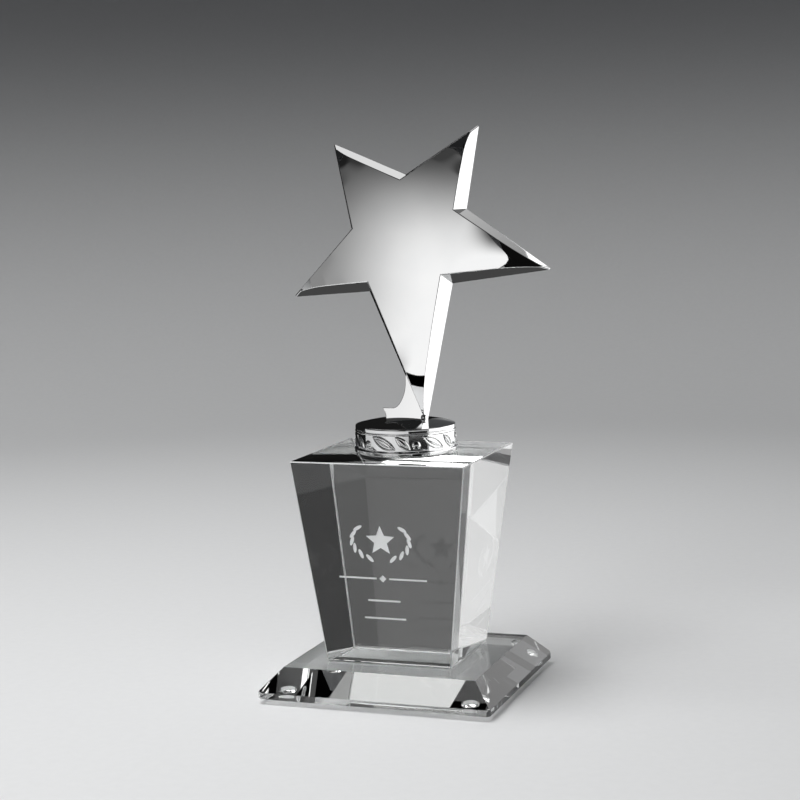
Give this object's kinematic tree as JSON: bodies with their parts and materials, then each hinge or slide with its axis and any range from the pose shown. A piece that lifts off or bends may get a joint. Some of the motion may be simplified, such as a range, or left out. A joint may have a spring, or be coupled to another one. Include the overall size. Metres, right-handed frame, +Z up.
{
  "type": "star trophy",
  "caption": "Award with a domed metal star on a leaf-decorated metal collar, standing on a flared glass block and a bevelled glass base plate.",
  "frame": {"origin": "middle of the base plate's footprint, on the surface that the bumper feet stand on", "axes": "+Z up, +X to the right as seen from the front, the decorated front faces -Y"},
  "size_m": [0.113, 0.093, 0.2345],
  "materials": {
    "clear_glass": "polished clear optical glass, with frosted marks on the front face",
    "chrome": "mirror-polished chrome plate",
    "steel": "plain zinc-plated steel",
    "clear_adhesive": "cured clear adhesive",
    "grey_adhesive": "grey bonding pad",
    "clear_bumper": "clear soft polyurethane, smooth"
  },
  "bodies": {
    "root": {"base_plate": "clear_glass", "glass_block": "clear_glass", "block_bond": "clear_adhesive", "collar_pad": "grey_adhesive", "collar_disc": "steel", "collar_band": "chrome", "collar_cap": "chrome", "star": "chrome", "support_foot": "chrome", "foot_screw": "steel", "foot_washer": "steel", "locating_pin": "steel", "bumper_foot_front_left": "clear_bumper", "bumper_foot_front_right": "clear_bumper", "bumper_foot_back_left": "clear_bumper", "bumper_foot_back_right": "clear_bumper"}
  },
  "joints": []
}
